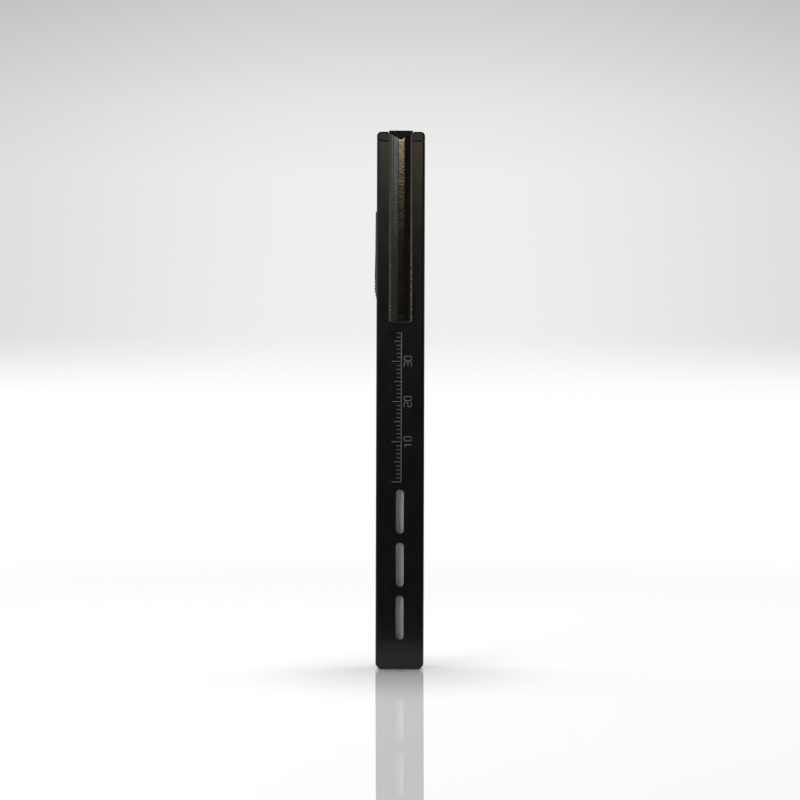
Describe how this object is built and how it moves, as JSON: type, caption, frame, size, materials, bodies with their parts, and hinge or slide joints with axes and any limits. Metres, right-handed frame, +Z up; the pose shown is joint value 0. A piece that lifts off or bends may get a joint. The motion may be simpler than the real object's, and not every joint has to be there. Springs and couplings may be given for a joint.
{
  "type": "click eraser stick",
  "caption": "Flat pocket eraser stick: a thumb slider on the side feeds a square eraser out of the nose click by click.",
  "frame": {"origin": "middle of the nose's end face, on the casing's long axis, at the mouth the eraser leaves by", "axes": "+Z up the casing from the nose to the tail cap, -Y towards the pocket clip and the windows (front), +Y out of the plain back, -X towards the thumb slider"},
  "size_m": [0.0125, 0.0114, 0.134],
  "materials": {
    "casing_plastic": "fine-textured black moulding",
    "cap_plastic": "fine-textured black moulding",
    "slider_plastic": "satin black moulding",
    "inner_plastic": "dark grey moulding",
    "rack_plastic": "dark grey acetal",
    "carriage_plastic": "dark grey acetal",
    "clip_metal": "glossy black coated steel with a fine speckle",
    "spring_steel": "bright spring steel",
    "eraser_vinyl": "matt white vinyl"
  },
  "bodies": {
    "barrel": {"barrel": "casing_plastic", "mouth_guide": "inner_plastic", "front_rack": "rack_plastic", "rear_rack": "rack_plastic", "tail_cap": "cap_plastic", "inner_plug": "inner_plastic"},
    "clip": {"pocket_clip": "clip_metal"},
    "carriage": {"carriage": "carriage_plastic", "grip_claw": "spring_steel", "leaf_spring": "spring_steel"},
    "button": {"thumb_slider": "slider_plastic", "pawl_plate": "carriage_plastic"},
    "refill": {"eraser": "eraser_vinyl"}
  },
  "joints": [
    {"name": "eraser_feed", "type": "slide", "parent": "barrel", "child": "carriage", "axis": [0, 0, -1], "range_m": [0, 0.072]},
    {"name": "ratchet_release", "type": "slide", "parent": "carriage", "child": "button", "axis": [1, 0, 0], "range_m": [0, 0.00045], "stiffness_N_per_m": 1200, "springref_m": -0.0004, "deforming": ["leaf_spring"]},
    {"name": "refill_draw", "type": "slide", "parent": "carriage", "child": "refill", "axis": [0, 0, -1], "range_m": [0, 0.0115]},
    {"name": "clip_flex", "type": "hinge", "parent": "barrel", "child": "clip", "pos_m": [0, -0.0012, 0.132], "axis": [-1, 0, 0], "range_deg": [0, 3], "stiffness_Nm_per_rad": 3}
  ]
}
